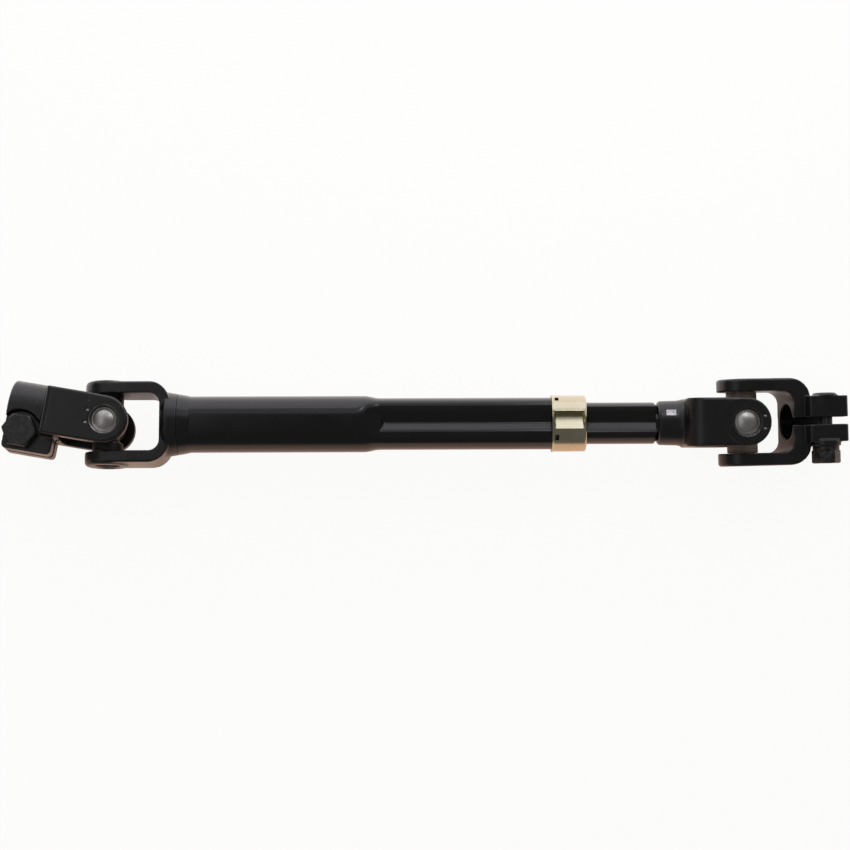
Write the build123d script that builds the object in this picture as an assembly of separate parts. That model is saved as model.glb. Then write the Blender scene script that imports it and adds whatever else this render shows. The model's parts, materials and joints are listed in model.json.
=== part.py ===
from build123d import *
import os
from math import asin, atan, atan2, cos, degrees, radians, sin, sqrt, tan

# Intermediate steering shaft, millimetres. +X runs from the steering gear end to the column end,
# +Z is up from the surface the shaft lies on. Both joints are first built about their own centres.

# Layout along the shaft, measured from the centre of the gear end joint
joint_distance = 357.7
tube_start = 40.0
ramp_start = 137.0
ramp_end = 155.5
neckdown_start = 143.5
neckdown_end = 154.5
tube_end = 267.5
shaft_inner_end = 190.0

# How the pieces lie at rest, in degrees
section_phase = 6.5
fork_phase = 7.5
gear_swing = 9.8
column_swing = 1.2

# Bearing cups, rollers and seals, the same in all eight ears
cup_radius = 7.5
cup_wall = 1.2
cup_floor = 1.5
cup_dome = 0.9
cup_edge = 1.2
cup_mouth_share = 0.52
cup_recess = 0.5
roller_count = 16
roller_radius = 0.98
roller_end_play = 0.4
fit_gap = 0.02
running_gap = 0.05
seal_radius = 8.6
seal_lip = 0.9

# Joint crosses
trunnion_radius = 4.3
trunnion_chamfer = 0.6
cross_boss_radius = 6.4
cross_boss_gap = 1.1
cross_core_radius = 8.6

# Formed tube
tube_radius = 15.9
tube_wall = 2.1
formed_radius = 14.6
flat_height = 10.2
groove_half_width = 5.4
groove_depth = 2.9
groove_start = 152.8
groove_end_run = 4.0
groove_bottom_radius = 1.5
groove_lip_radius = 1.5
formed_edge_radius = 1.5
bore_corner_radius = 0.5

# Sliding shaft
shaft_radius = 11.7
slide_gap = 0.15
shaft_lip_radius = 1.0
shaft_edge_radius = 0.8
shaft_end_chamfer = 2.0
spigot_radius = 8.0
spigot_length = 13.0

# Tube end clip, a drawn sleeve with a groove pressed into each side
clip_start = 250.0
clip_length = 19.4
clip_sheet = 1.1
clip_gap = 0.15
clip_groove_half_width = 5.4
clip_groove_slope = 42.0
clip_shoulder_radius = 2.2
clip_flare = 0.5
clip_flare_length = 1.2
clip_window_start = 1.6
clip_window_length = 2.2
clip_window_height = 3.4
clip_window_angles = (52.0, -38.0)

# Weld between fork and tube
weld_length = 6.8
weld_fullness = 0.1

# Gear end fork
gear_half_span = 23.0
gear_ear = 6.75
fork_half_width = 13.4
fork_tip_radius = 12.8
fork_base_inner = 30.1
fork_base = 5.5
fork_outer_corner = 12.0
fork_inner_corner = 6.0
fork_pad_height = 0.9
fork_pad_radius = 11.0
fork_pad_foot_radius = 12.6
fork_hub_start = 31.0
fork_hub_start_radius = 15.4
fork_hub_peak = 33.4
fork_hub_peak_radius = 18.4
fork_hub_end_radius = 17.2
fork_spigot_length = 13.0

# Gear end clamp yoke
gear_half_width = 13.5
gear_tip_radius = 13.2
gear_base_inner = 25.5
gear_base = 9.5
gear_outer_corner = 4.0
gear_inner_corner = 5.0
gear_barrel_radius = 16.2
gear_length = 55.3
gear_bore_radius = 8.0
gear_lug_start = 27.4
gear_lug_half = 11.3
gear_lug_reach = 23.9
gear_slit = 3.0
gear_bolt_inset = 9.3
gear_bolt_offset = 13.4
gear_bolt_radius = 5.0
gear_bolt_clearance = 0.2
gear_spot_radius = 11.8
gear_head_flats = 17.0
gear_head_height = 6.8
gear_nut_height = 8.0
gear_bolt_tip = 2.0

# Column end shaft yoke
column_half_span = 24.5
column_ear = 7.2
column_tip_radius = 13.4
column_half_width = 13.6
yoke_base_inner = 26.0
yoke_base = 7.7
yoke_outer_corner = 11.5
yoke_inner_corner = 6.0
yoke_spot_radius = 12.9
yoke_spot_depth = 0.35
neck_radius = 12.4
neck_root_radius = 13.4
neck_root_length = 3.0
neck_draft = 0.3
neck_end = 48.1
neck_chamfer = 1.2

# Column end clamp yoke
clamp_base_inner = 26.5
clamp_base = 10.0
clamp_outer_corner = 12.5
clamp_inner_corner = 7.0
clamp_tip_radius = 13.8
clamp_barrel_radius = 13.5
clamp_length = 56.5
clamp_bore_radius = 10.0
clamp_lug_start = 33.0
clamp_lug_back = 14.0
clamp_lug_front = 11.8
clamp_lug_reach = 20.0
clamp_slit = 4.1
clamp_bolt_place = 44.2
clamp_bolt_offset = 14.4
clamp_bolt_radius = 4.0
clamp_bolt_clearance = 0.6
clamp_head_flats = 14.0
clamp_head_height = 7.2
clamp_head_turn = 15.0
washer_radius = 7.5
washer_thickness = 2.6
washer_split = 1.0
washer_gap = 0.2
washer_split_turn = -120.0
washer_split_slope = 25.0
clamp_boss_radius = 7.2
clamp_boss_height = 1.7
clamp_boss_chamfer = 1.2
clamp_seat_radius = 8.5
clamp_seat_height = 2.4

# Shared finishing sizes
cut_over = 1.0
head_crown_slope = 30.0
ear_taper_length = 12.0
base_corner = 1.8
ear_bevel = 1.0
bevel_angle = 45
hole_chamfer = 0.7
lug_corner = 2.5
barrel_chamfer = 1.0

# Puts a yoke that was built towards +X with ears on Y the other way round, with ears on Z
turned = Rot(X=90) * Rot(Y=180)


def along_x(radius, start, end):
    rod = Cylinder(radius, end - start, align=(Align.CENTER, Align.CENTER, Align.MIN))
    return Pos(start, 0, 0) * Rot(Y=90) * rod


def along_y(radius, start, end, x=0, z=0):
    rod = Cylinder(radius, end - start, align=(Align.CENTER, Align.CENTER, Align.MIN))
    return Pos(x, end, z) * Rot(X=90) * rod


def block(x0, x1, y0, y1, z0, z1):
    low = (Align.MIN, Align.MIN, Align.MIN)
    return Pos(x0, y0, z0) * Box(x1 - x0, y1 - y0, z1 - z0, align=low)


def turn_about_x(outline):
    # outline lies in the XY plane above the X axis
    return revolve(make_face(outline), axis=Axis.X, revolution_arc=360)


def step_curve(x0, y0, x1, y1):
    # Two equal tangent arcs that carry a line from one level to another
    middle = ((x0 + x1) / 2, (y0 + y1) / 2)
    first = TangentArc((x0, y0), middle, tangent=(1, 0))
    second = TangentArc((x1, y1), middle, tangent=(-1, 0))
    return first + second


def grooved_section(radius, flat, half_width, depth, bottom_fillet, lip_fillet, edge_fillet):
    # Round bar with two flats and a V groove along the middle of each flat
    section = Circle(radius) & Rectangle(2 * radius, 2 * flat)
    for side in (1, -1):
        bottom = (flat - depth) * side
        rise = (flat + depth) * side
        spread = 2 * half_width
        section -= make_face(Polyline((0, bottom), (spread, rise), (-spread, rise), close=True))
    middles = section.vertices().filter_by(lambda v: abs(v.X) < 0.001)
    section = fillet(middles, bottom_fillet)
    lips = section.vertices().filter_by(lambda v: abs(abs(v.X) - half_width) < 0.001)
    section = fillet(lips, lip_fillet)
    edge_x = sqrt(radius ** 2 - flat ** 2)
    edges = section.vertices().filter_by(lambda v: abs(abs(v.X) - edge_x) < 0.001)
    return fillet(edges, edge_fillet)


def section_bar(section, start, end):
    # The section's first axis becomes Y and its second becomes Z
    plane = Plane(origin=(start, 0, 0), x_dir=(0, 1, 0), z_dir=(1, 0, 0))
    return extrude(plane * section, amount=end - start)


def inset_groove(inset):
    # The groove outline as seen from a surface that lies the inset deeper
    slope = atan(groove_depth / groove_half_width)
    half_width = groove_half_width + inset * tan(slope / 2)
    depth = groove_depth + inset * (1 / cos(slope) - 1)
    return half_width, depth


def groove_cutter(side, flat, half_width, depth, start, end):
    # V prism whose closed end slopes down from the flat to the bottom of the groove
    spread = 2 * half_width
    bottom = (flat - depth) * side
    rise = (flat + depth) * side
    plane = Plane(origin=(start, 0, 0), x_dir=(0, 1, 0), z_dir=(1, 0, 0))
    vee = make_face(Polyline((0, bottom), (spread, rise), (-spread, rise), close=True))
    prism = extrude(plane * vee, amount=end - start)
    run = groove_end_run
    foot = (flat - depth) * side
    keep = Plane.XZ * make_face(
        Polyline(
            (start - run, (flat + depth) * side),
            (start, flat * side),
            (start + run, foot),
            (start + run, 0),
            (end + run, 0),
            (end + run, (flat + depth) * side),
            close=True,
        )
    )
    return prism & extrude(keep, amount=2 * spread, both=True)


def formed_bar(round_radius, radius, flat, half_width, depth, fillets, start, end):
    # Round stretch, ramps down to two flats, grooves with sloped ends, then the even section
    even_start = groove_start + groove_end_run + 2 * cut_over
    sides = Polyline(
        (neckdown_start, round_radius), (start, round_radius), (start, 0), (even_start, 0)
    )
    shoulder = step_curve(neckdown_start, round_radius, neckdown_end, radius)
    rest = Polyline((neckdown_end, radius), (even_start, radius), (even_start, 0))
    blank = turn_about_x(sides + shoulder + rest)
    top = round_radius + cut_over
    ramp = step_curve(ramp_start, round_radius, ramp_end, flat)
    lead = Polyline(
        (ramp_start, round_radius), (start, top), (start, -top), (even_start, -top), (even_start, flat)
    )
    half = Plane.XZ * make_face(ramp + lead + Line((even_start, flat), (ramp_end, flat)))
    upper = extrude(half, amount=2 * top, both=True)
    lower = mirror(upper, about=Plane.XY)
    blank = blank & upper & lower
    for side in (1, -1):
        blank -= groove_cutter(side, flat, half_width, depth, groove_start, even_start)
    section = grooved_section(radius, flat, half_width, depth, *fillets)
    return blank + section_bar(section, even_start, end)


def make_outer_tube():
    outside = formed_bar(
        tube_radius, formed_radius, flat_height, groove_half_width, groove_depth,
        (groove_bottom_radius, groove_lip_radius, formed_edge_radius), tube_start, tube_end,
    )
    half_width, depth = inset_groove(tube_wall)
    inside = formed_bar(
        tube_radius - tube_wall, formed_radius - tube_wall, flat_height - tube_wall, half_width, depth,
        (groove_bottom_radius + tube_wall, bore_corner_radius, bore_corner_radius), tube_start, tube_end,
    )
    return outside - inside


def make_slide_shaft():
    inset = tube_wall + slide_gap
    half_width, depth = inset_groove(inset)
    section = grooved_section(
        shaft_radius, flat_height - inset, half_width, depth,
        groove_bottom_radius, shaft_lip_radius, shaft_edge_radius,
    )
    shaft_end = joint_distance - neck_end - running_gap
    bar = section_bar(section, shaft_inner_end, shaft_end)
    low = shaft_radius - shaft_end_chamfer
    points = [
        (shaft_inner_end, 0), (shaft_inner_end, low), (shaft_inner_end + shaft_end_chamfer, shaft_radius),
        (shaft_end - shaft_end_chamfer, shaft_radius), (shaft_end, low), (shaft_end, 0),
    ]
    bar = bar & turn_about_x(Polyline(*points, close=True))
    return bar + along_x(spigot_radius, shaft_end - cut_over, shaft_end + spigot_length)


def clip_body(radius, start, end, shoulder, bottom):
    # Filled form of the clip, or of the space inside it
    points = Polyline((start, 0), (start, radius), (end - shoulder, radius))
    corner = TangentArc((end - shoulder, radius), (end, radius - shoulder), tangent=(1, 0))
    close = Polyline((end, radius - shoulder), (end, 0), (start, 0))
    body = turn_about_x(points + corner + close)
    slope = tan(radians(clip_groove_slope))
    for side in (1, -1):
        rise = radius + cut_over
        spread = (rise - bottom) / slope
        plane = Plane(origin=(start - cut_over, 0, 0), x_dir=(0, 1, 0), z_dir=(1, 0, 0))
        vee = make_face(
            Polyline((0, bottom * side), (spread, rise * side), (-spread, rise * side), close=True)
        )
        vee = fillet(vee.vertices().filter_by(lambda v: abs(v.X) < 0.01), groove_bottom_radius)
        body -= extrude(plane * vee, amount=end - start + 2 * cut_over)
    return body


def make_clip():
    inner_radius = formed_radius + clip_gap
    outer_radius = inner_radius + clip_sheet
    clip_end = clip_start + clip_length
    slope = radians(clip_groove_slope)
    lip = sqrt(outer_radius ** 2 - clip_groove_half_width ** 2)
    outer_bottom = lip - clip_groove_half_width * tan(slope)
    inner_bottom = outer_bottom - clip_sheet / cos(slope)
    outside = clip_body(outer_radius, clip_start, clip_end, clip_shoulder_radius, outer_bottom)
    inner_shoulder = clip_shoulder_radius - clip_sheet
    inside = clip_body(
        inner_radius, clip_start - cut_over, clip_end - clip_sheet, inner_shoulder, inner_bottom
    )
    flare = turn_about_x(
        Polyline(
            (clip_start, inner_radius + clip_flare), (clip_start, outer_radius + clip_flare),
            (clip_start + clip_flare_length, outer_radius), (clip_start + clip_flare_length, inner_radius),
            close=True,
        )
    )
    flare &= outside_of_grooves(inner_radius, clip_start, clip_end)
    mouth_flat = flat_height - tube_wall + clip_gap
    mouth = Circle(shaft_radius + clip_gap) & Rectangle(2 * tube_radius, 2 * mouth_flat)
    sleeve = outside + flare - inside
    sleeve -= section_bar(mouth, clip_end - 2 * clip_sheet, clip_end + cut_over)
    window_start = clip_start + clip_window_start
    for angle in clip_window_angles:
        window = block(
            window_start, window_start + clip_window_length,
            -clip_window_height / 2, clip_window_height / 2,
            inner_radius - cut_over, outer_radius + cut_over,
        )
        for turn in (0, 180):
            sleeve -= Rot(X=90 - angle + turn) * window
    return sleeve


def outside_of_grooves(radius, start, end):
    # Everything but the strip over each pressed groove
    far = 2 * radius
    half = clip_groove_half_width + clip_flare
    keep = block(start - cut_over, end + cut_over, -far, far, -far, far)
    strip = block(
        start - 2 * cut_over, end + 2 * cut_over, -half, half, -far - cut_over, far + cut_over
    )
    return keep - strip


def make_weld():
    # Ring that fills the step from the hub's rim down to the tube
    weld_start = tube_start + fit_gap
    weld_end = weld_start + weld_length
    rim = (weld_start, fork_hub_end_radius)
    middle = ((weld_start + weld_end) / 2, (fork_hub_end_radius + tube_radius) / 2 + weld_fullness)
    low = Polyline(rim, (weld_start, tube_radius), (weld_end, tube_radius))
    return turn_about_x(low + ThreePointArc(rim, middle, (weld_end, tube_radius)))


def fork_form(half_span, ear, half_width, tip_radius, base_inner, base, outer_corner, inner_corner):
    # U seen from the side, trimmed to the ear outline seen from the end of the pin
    reach = tip_radius + cut_over
    base_outer = base_inner + base
    outer = Pos((base_outer - reach) / 2, 0) * Rectangle(base_outer + reach, 2 * half_span)
    corners = outer.vertices().filter_by(lambda v: v.X > 0)
    outer = fillet(corners, outer_corner)
    gap = Pos((base_inner - reach) / 2, 0) * Rectangle(base_inner + reach, 2 * (half_span - ear))
    corners = gap.vertices().filter_by(lambda v: v.X > 0)
    gap = fillet(corners, inner_corner)
    side = extrude(outer - gap, amount=half_width, both=True)
    shank = make_face(
        Polyline(
            (0, -tip_radius), (ear_taper_length, -half_width), (base_outer, -half_width),
            (base_outer, half_width), (ear_taper_length, half_width), (0, tip_radius), close=True,
        )
    )
    shank = fillet(shank.vertices().filter_by(lambda v: v.X > base_inner), base_corner)
    outline = Plane.XZ * (Circle(tip_radius) + shank)
    straight = extrude(outline, amount=half_span - ear_bevel, both=True)
    bevel = extrude(outline, amount=ear_bevel, taper=bevel_angle)
    lower = Pos(0, -(half_span - ear_bevel), 0) * bevel
    return side & (straight + lower + mirror(lower, about=Plane.XZ))


def pin_holes(half_span):
    # Through both ears, with a small chamfer at each outer face
    radius = cup_radius + fit_gap
    tool = along_y(radius, -half_span - cut_over, half_span + cut_over)
    for way in (1, -1):
        mouth = Cone(radius, radius + 2 * hole_chamfer, 2 * hole_chamfer)
        tool += Pos(0, way * half_span, 0) * Rot(X=-90 * way) * mouth
    return tool


def make_tube_fork():
    form = fork_form(
        gear_half_span, gear_ear, fork_half_width, fork_tip_radius,
        fork_base_inner, fork_base, fork_outer_corner, fork_inner_corner,
    )
    outline = Polyline(
        (fork_hub_start, 0), (fork_hub_start, fork_hub_start_radius), (fork_hub_peak, fork_hub_peak_radius),
        (tube_start, fork_hub_end_radius), (tube_start, 0), close=True,
    )
    hub = turn_about_x(outline)
    spigot = along_x(tube_radius - tube_wall - fit_gap, fork_hub_start, tube_start + fork_spigot_length)
    form += hub + spigot
    for way in (1, -1):
        low = (Align.CENTER, Align.CENTER, Align.MIN)
        pad = Cone(fork_pad_foot_radius, fork_pad_radius, fork_pad_height, align=low)
        form += Pos(0, way * gear_half_span, 0) * Rot(X=-90 * way) * pad
    return form - pin_holes(gear_half_span + fork_pad_height)


def make_shaft_yoke():
    form = fork_form(
        column_half_span, column_ear, column_half_width, column_tip_radius,
        yoke_base_inner, yoke_base, yoke_outer_corner, yoke_inner_corner,
    )
    root = yoke_base_inner + yoke_base
    outline = Polyline(
        (yoke_base_inner + cut_over, 0), (yoke_base_inner + cut_over, neck_root_radius),
        (root, neck_root_radius), (root + neck_root_length, neck_radius + neck_draft),
        (neck_end - neck_chamfer, neck_radius), (neck_end, neck_radius - neck_chamfer),
        (neck_end, 0), close=True,
    )
    form += turn_about_x(outline)
    form -= along_x(spigot_radius + fit_gap, neck_end - spigot_length - cut_over, neck_end + cut_over)
    for way in (1, -1):
        start = column_half_span - yoke_spot_depth
        recess = along_y(yoke_spot_radius, start, column_half_span + cut_over)
        form -= recess if way > 0 else mirror(recess, about=Plane.XZ)
    return form - pin_holes(column_half_span)


def clamp_form(form, size, lug_way):
    # Split barrel with two lugs, added to a fork
    reach = size["reach"] * lug_way
    barrel = along_x(size["barrel"], size["base_inner"] + 2 * cut_over, size["length"])
    rim = barrel.edges().filter_by(GeomType.CIRCLE).sort_by(Axis.X)[-1]
    barrel = chamfer(rim, barrel_chamfer)
    lugs = block(
        size["lug_start"], size["length"], -size["lug_front"], size["lug_back"],
        min(0, reach), max(0, reach),
    )
    far = lugs.edges().filter_by(Axis.Y).sort_by(Axis.Z)
    far = far[-2:] if lug_way > 0 else far[:2]
    lugs = fillet(far, lug_corner)
    form += barrel + lugs
    start = size["base_inner"] - 3 * cut_over
    end = size["length"] + cut_over
    form -= along_x(size["bore"], start, end)
    slit = size["slit"] / 2
    over = reach + lug_way * cut_over
    return form - block(start, end, -slit, slit, min(0, over), max(0, over))


def make_gear_clamp_yoke():
    form = fork_form(
        gear_half_span, gear_ear, gear_half_width, gear_tip_radius,
        gear_base_inner, gear_base, gear_outer_corner, gear_inner_corner,
    )
    size = {
        "barrel": gear_barrel_radius, "base_inner": gear_base_inner, "length": gear_length,
        "bore": gear_bore_radius, "lug_start": gear_lug_start, "lug_back": gear_lug_half,
        "lug_front": gear_lug_half, "reach": gear_lug_reach, "slit": gear_slit,
    }
    form = clamp_form(form, size, -1)
    hole = gear_bolt_radius + gear_bolt_clearance
    over = gear_half_span + cut_over
    form -= along_y(hole, -over, over, gear_bolt_place, -gear_bolt_offset)
    for start, end in ((gear_lug_half, over), (-over, -gear_lug_half)):
        form -= along_y(gear_spot_radius, start, end, gear_bolt_place, -gear_bolt_offset)
    return form - pin_holes(gear_half_span)


def make_column_clamp_yoke():
    form = fork_form(
        column_half_span, column_ear, column_half_width, clamp_tip_radius,
        clamp_base_inner, clamp_base, clamp_outer_corner, clamp_inner_corner,
    )
    size = {
        "barrel": clamp_barrel_radius, "base_inner": clamp_base_inner, "length": clamp_length,
        "bore": clamp_bore_radius, "lug_start": clamp_lug_start, "lug_back": clamp_lug_back,
        "lug_front": clamp_lug_front, "reach": clamp_lug_reach, "slit": clamp_slit,
    }
    form = clamp_form(form, size, 1)
    back = clamp_lug_back + clamp_boss_height
    front = -clamp_lug_front - clamp_seat_height
    boss = along_y(clamp_boss_radius, clamp_lug_back - cut_over, back, clamp_bolt_place, clamp_bolt_offset)
    boss = chamfer(boss.edges().filter_by(GeomType.CIRCLE).sort_by(Axis.Y)[-1], clamp_boss_chamfer)
    form += boss
    seat_root = cut_over - clamp_lug_front
    form += along_y(clamp_seat_radius, front, seat_root, clamp_bolt_place, clamp_bolt_offset)
    thread = clamp_bolt_radius + fit_gap
    form -= along_y(thread, 0, back + cut_over, clamp_bolt_place, clamp_bolt_offset)
    clear = clamp_bolt_radius + clamp_bolt_clearance
    form -= along_y(clear, front - cut_over, 0, clamp_bolt_place, clamp_bolt_offset)
    return form - pin_holes(column_half_span)


def hexagon_head(flats, height):
    # Hexagon with its corners turned off at the outer end, standing on the XY plane
    corner = flats / sqrt(3)
    head = extrude(RegularPolygon(corner, 6), amount=height)
    foot = flats / 2 + height / tan(radians(head_crown_slope))
    crown = Cone(foot, flats / 2, height, align=(Align.CENTER, Align.CENTER, Align.MIN))
    return head & crown


def make_gear_bolt():
    # Head towards +Y on the seat of the lug, end beyond the nut on the other side
    seat = gear_lug_half
    end = -gear_lug_half - gear_nut_height - gear_bolt_tip
    shank = along_y(gear_bolt_radius, end, seat + cut_over, gear_bolt_place, -gear_bolt_offset)
    head = hexagon_head(gear_head_flats, gear_head_height)
    return shank + Pos(gear_bolt_place, seat, -gear_bolt_offset) * Rot(X=-90) * head


def make_gear_nut():
    nut = hexagon_head(gear_head_flats, gear_nut_height)
    nut -= Cylinder(gear_bolt_radius + fit_gap, 3 * gear_nut_height)
    return Pos(gear_bolt_place, -gear_lug_half, -gear_bolt_offset) * Rot(X=90) * nut


def make_column_bolt():
    # Head towards -Y above the lock washer, thread in the far lug
    seat = -clamp_lug_front - clamp_seat_height - washer_thickness
    end = clamp_lug_back + clamp_boss_height
    shank = along_y(clamp_bolt_radius, seat - cut_over, end, clamp_bolt_place, clamp_bolt_offset)
    head = Rot(X=90) * Rot(Z=clamp_head_turn) * hexagon_head(clamp_head_flats, clamp_head_height)
    return shank + Pos(clamp_bolt_place, seat, clamp_bolt_offset) * head


def make_lock_washer():
    ring = Cylinder(washer_radius, washer_thickness)
    ring -= Cylinder(clamp_bolt_radius + washer_gap, 2 * washer_thickness)
    half = washer_split / 2
    cut = block(0, 2 * washer_radius, -half, half, -washer_thickness, washer_thickness)
    ring -= Rot(Z=washer_split_turn) * Rot(X=washer_split_slope) * cut
    level = -clamp_lug_front - clamp_seat_height - washer_thickness / 2
    return Pos(clamp_bolt_place, level, clamp_bolt_offset) * Rot(X=90) * ring


def make_cross(half_span):
    tip = half_span - cup_recess - cup_dome - cup_floor - 3 * running_gap
    boss_end = cup_mouth_share * half_span - cross_boss_gap
    arm = Polyline(
        (0, 0), (0, cross_boss_radius), (boss_end, cross_boss_radius), (boss_end, trunnion_radius),
        (tip - trunnion_chamfer, trunnion_radius), (tip, trunnion_radius - trunnion_chamfer), (tip, 0),
        close=True,
    )
    arm = turn_about_x(arm)
    cross = Sphere(cross_core_radius)
    for turn in (Rot(Z=90), Rot(Z=-90), Rot(Y=90), Rot(Y=-90)):
        cross += turn * arm
    return cross


def bearing(half_span, ear):
    # Cup, rollers and seal of one ear, along +X from the joint centre
    tip = half_span - cup_recess
    edge = tip - cup_dome
    inner = cup_radius - cup_wall
    floor = edge - cup_floor
    cup_mouth = cup_mouth_share * half_span
    wall = Polyline(
        (floor, 0), (floor, inner), (cup_mouth, inner), (cup_mouth, cup_radius),
        (edge - cup_edge, cup_radius), (edge, cup_radius - cup_edge),
    )
    dome = TangentArc((tip, 0), (edge, cup_radius - cup_edge), tangent=(0, 1))
    cup = turn_about_x(wall + dome + Line((tip, 0), (floor, 0)))
    pitch = (trunnion_radius + inner) / 2
    start = cup_mouth + seal_lip
    length = floor - roller_end_play - start
    rollers = []
    for index in range(roller_count):
        turn = Rot(X=360 * index / roller_count)
        plane = Plane(origin=(start, 0, 0), x_dir=(0, 1, 0), z_dir=(1, 0, 0))
        rod = extrude(plane * RegularPolygon(roller_radius, 8), amount=length)
        rollers.append(turn * Pos(0, 0, pitch) * rod)
    back = cup_mouth - cross_boss_gap + 2 * running_gap
    sleeve_end = half_span - ear - 4 * running_gap
    seal = turn_about_x(
        Polyline(
            (back, trunnion_radius + running_gap), (back, seal_radius), (sleeve_end, seal_radius),
            (sleeve_end, cup_radius + fit_gap), (cup_mouth - fit_gap, cup_radius + fit_gap),
            (cup_mouth - fit_gap, trunnion_radius + running_gap), close=True,
        )
    )
    return {"cup": cup, "rollers": Compound(children=rollers), "seal": seal}


def gear_rest_pitch():
    # The clamp yoke drops until the corner of its lower ear meets the surface the shaft lies on
    swing = radians(gear_swing)
    phase = radians(fork_phase)
    along = gear_base_inner + gear_base - gear_outer_corner
    across = gear_half_width - ear_bevel
    x = -along * cos(swing) + across * sin(swing)
    y = along * sin(swing) + across * cos(swing)
    level = (y * sin(phase) - column_half_span) / cos(phase)
    arm = sqrt(x ** 2 + gear_half_span ** 2)
    return degrees(asin(level / arm) + atan2(gear_half_span, -x))


def column_rest_pitch():
    # The clamp yoke drops until the rim of its barrel meets the surface the shaft lies on
    radius = clamp_barrel_radius
    length = clamp_length - barrel_chamfer
    arm = sqrt(length ** 2 + radius ** 2)
    return degrees(asin(column_half_span / arm) - atan(radius / length))


gear_bolt_place = gear_length - gear_bolt_inset
tube_place = Rot(X=-section_phase)
fork_place = Rot(X=-fork_phase)
gear_cross_place = fork_place * Rot(Y=gear_rest_pitch())
gear_clamp_place = gear_cross_place * Rot(Z=-gear_swing) * turned
column_centre = Pos(joint_distance, 0, 0)
column_cross_place = column_centre * Rot(Z=column_swing)
column_clamp_place = column_cross_place * Rot(Y=column_rest_pitch())
yoke_place = column_centre * turned


def assemble():
    nodes = {}
    nodes["outer_tube"] = tube_place * make_outer_tube()
    nodes["tube_fork"] = fork_place * make_tube_fork()
    nodes["tube_weld"] = tube_place * make_weld()
    nodes["tube_end_clip"] = tube_place * make_clip()
    nodes["gear_cross"] = gear_cross_place * make_cross(gear_half_span)
    nodes["gear_clamp_yoke"] = gear_clamp_place * make_gear_clamp_yoke()
    nodes["gear_pinch_bolt"] = gear_clamp_place * make_gear_bolt()
    nodes["gear_pinch_nut"] = gear_clamp_place * make_gear_nut()
    nodes["slide_shaft"] = tube_place * make_slide_shaft()
    nodes["shaft_yoke"] = yoke_place * make_shaft_yoke()
    nodes["column_cross"] = column_cross_place * make_cross(column_half_span)
    nodes["column_clamp_yoke"] = column_clamp_place * make_column_clamp_yoke()
    nodes["column_pinch_bolt"] = column_clamp_place * make_column_bolt()
    nodes["column_lock_washer"] = column_clamp_place * make_lock_washer()
    ears = (
        ("fork", fork_place, gear_half_span, gear_ear),
        ("gear_clamp", gear_clamp_place, gear_half_span, gear_ear),
        ("shaft_yoke", yoke_place, column_half_span, column_ear),
        ("column_clamp", column_clamp_place, column_half_span, column_ear),
    )
    for name, place, half_span, ear in ears:
        pieces = bearing(half_span, ear)
        for letter, turn in (("a", Rot(Z=90)), ("b", Rot(Z=-90))):
            for kind, shape in pieces.items():
                nodes[f"{name}_{kind}_{letter}"] = place * turn * shape
    return nodes


nodes = assemble()
bounds = Compound([solid for shape in nodes.values() for solid in shape.solids()]).bounding_box()
shift = Pos(-(bounds.min.X + bounds.max.X) / 2, -(bounds.min.Y + bounds.max.Y) / 2, -bounds.min.Z)
os.makedirs("parts", exist_ok=True)
for name, shape in nodes.items():
    export_step(shift * shape, f"parts/{name}.step")
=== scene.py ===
import json
import math
from functools import partial
import bmesh
import bpy
import numpy as np
from mathutils import Matrix, Vector


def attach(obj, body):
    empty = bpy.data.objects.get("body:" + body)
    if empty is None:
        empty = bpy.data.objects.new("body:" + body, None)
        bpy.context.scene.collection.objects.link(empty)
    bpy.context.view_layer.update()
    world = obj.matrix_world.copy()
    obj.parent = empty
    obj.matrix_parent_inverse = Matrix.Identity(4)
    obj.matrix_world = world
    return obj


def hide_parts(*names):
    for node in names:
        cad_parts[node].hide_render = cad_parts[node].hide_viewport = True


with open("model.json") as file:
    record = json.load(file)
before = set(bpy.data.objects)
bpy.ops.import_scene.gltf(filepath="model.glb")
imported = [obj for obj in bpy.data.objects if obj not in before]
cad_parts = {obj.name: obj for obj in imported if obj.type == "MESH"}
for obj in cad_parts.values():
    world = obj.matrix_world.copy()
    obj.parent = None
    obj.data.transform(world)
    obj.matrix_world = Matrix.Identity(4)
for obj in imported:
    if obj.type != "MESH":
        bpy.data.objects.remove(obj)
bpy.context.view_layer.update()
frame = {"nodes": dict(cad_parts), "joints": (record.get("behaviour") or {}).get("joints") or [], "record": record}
mm = 0.001

# Places that the frame gives: the joint centres and how each yoke is turned about its own axis
jointRows = {row["name"]: row for row in frame["joints"]}
gearCentre = Vector(jointRows["gear_joint_pitch"]["pos_m"])
columnCentre = Vector(jointRows["column_joint_pitch"]["pos_m"])


def yokePlace(centre, along, pin):
    # Places a yoke's own frame: X along its axis away from the joint, Y along its pins
    x = Vector(along).normalized()
    y = Vector(pin)
    y = (y - x * y.dot(x)).normalized()
    turn = Matrix((x, y, x.cross(y))).transposed()
    return Matrix.Translation(centre) @ turn.to_4x4()


def turnAbout(axis, degrees):
    return Matrix.Rotation(math.radians(degrees), 4, axis)


# The tube's flats lean by this many degrees about its axis
tubeTurn = -6.5
tubePlace = Matrix.Translation(gearCentre) @ turnAbout("X", tubeTurn)
mountPlaces = {row["name"]: Vector(row["pos_m"]) for row in frame["record"]["mounts"]}
forgingPlaces = {
    "tube_fork": yokePlace(gearCentre, (1, 0, 0), jointRows["gear_joint_pitch"]["axis"]),
    "gear_clamp_yoke": yokePlace(
        gearCentre, mountPlaces["gear_shaft_clamp"] - gearCentre, jointRows["gear_joint_swing"]["axis"]),
    "shaft_yoke": yokePlace(columnCentre, (-1, 0, 0), jointRows["column_joint_swing"]["axis"]),
    "column_clamp_yoke": yokePlace(
        columnCentre, mountPlaces["column_shaft_clamp"] - columnCentre,
        jointRows["column_joint_pitch"]["axis"]),
}
print("stage: frame read")


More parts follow.
